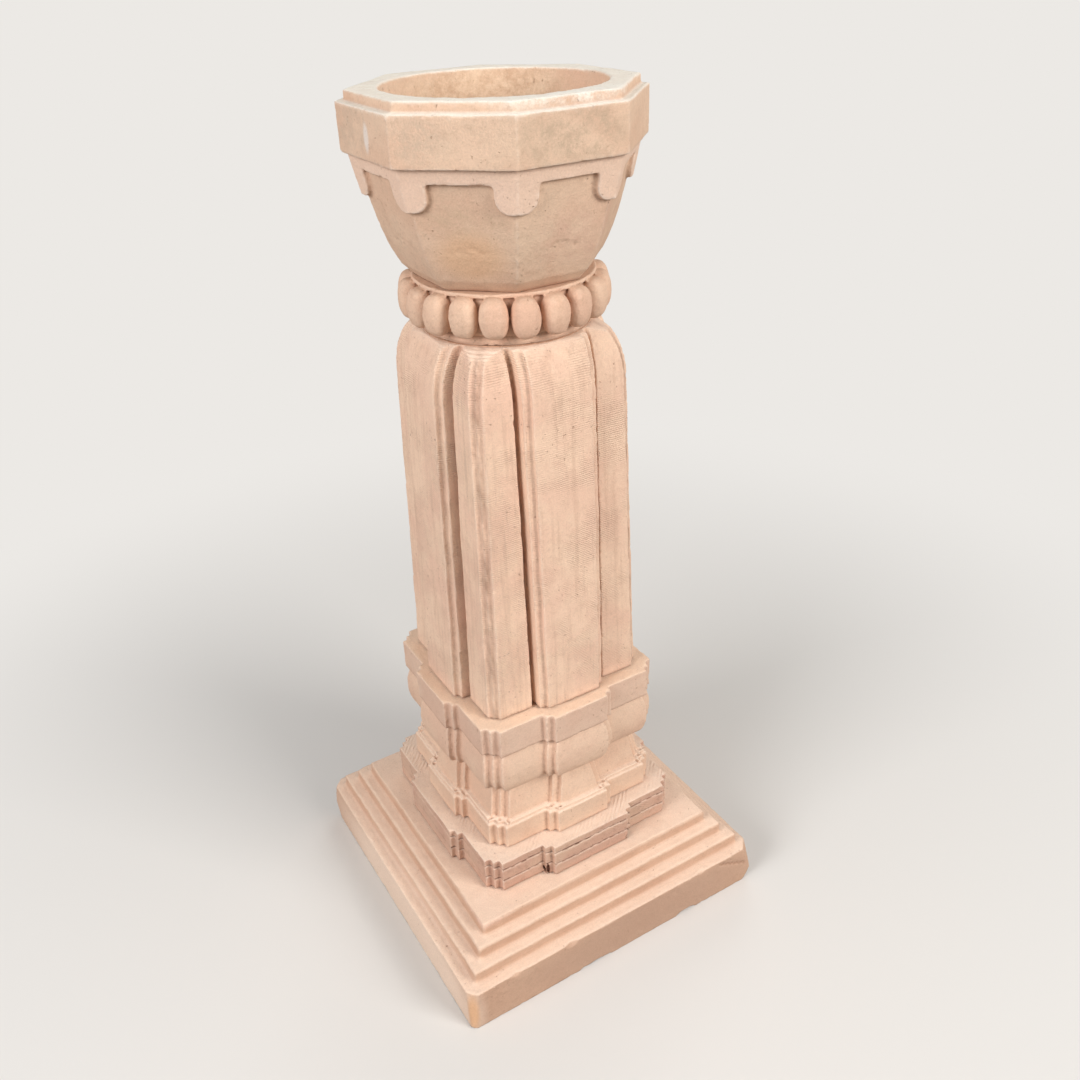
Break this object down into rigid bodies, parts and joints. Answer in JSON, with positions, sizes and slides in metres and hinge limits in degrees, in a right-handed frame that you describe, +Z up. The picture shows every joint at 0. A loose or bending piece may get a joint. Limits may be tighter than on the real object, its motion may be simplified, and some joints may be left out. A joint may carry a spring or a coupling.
{
  "type": "tulsi vrindavan planter",
  "caption": "Sandstone garden planter: stepped square plinth, moulded pedestal of indented plan, grooved shaft, bead collar and an octagonal bowl with lobed apron and round cavity.",
  "frame": {"origin": "centre of the underside of the plinth", "axes": "+Z up along the axis of the pedestal; X and Y square to the plinth's sides; the drain and weep channel lie on the +Y side, the back in the picture"},
  "size_m": [0.38, 0.38, 0.8935],
  "materials": {
    "plinth_stone": "sawn and chiselled sandstone, worn edges",
    "course_stone": "carved sandstone",
    "shaft_stone": "carved sandstone, rubbed faces",
    "collar_stone": "carved sandstone",
    "bowl_stone": "carved sandstone with grey weathering",
    "bed_mortar": "recessed lime mortar",
    "pin_steel": "plain round bar"
  },
  "bodies": {
    "pedestal": {"plinth_slab": "plinth_stone", "base_course": "course_stone", "lower_moulding": "course_stone", "cushion_course": "course_stone", "cap_course": "course_stone", "shaft": "shaft_stone", "bead_collar": "collar_stone", "plinth_bed": "bed_mortar", "base_bed": "bed_mortar", "moulding_bed": "bed_mortar", "cushion_bed": "bed_mortar", "cap_bed": "bed_mortar", "collar_bed": "bed_mortar", "plinth_pins": "pin_steel", "base_pins": "pin_steel", "moulding_pins": "pin_steel", "cushion_pins": "pin_steel", "cap_pins": "pin_steel", "collar_pins": "pin_steel", "bowl_pin": "pin_steel"},
    "bowl": {"bowl": "bowl_stone"}
  },
  "joints": [
    {"name": "bowl_lift", "type": "slide", "parent": "pedestal", "child": "bowl", "axis": [0, 0, 1], "range_m": [0, 0.06]}
  ]
}
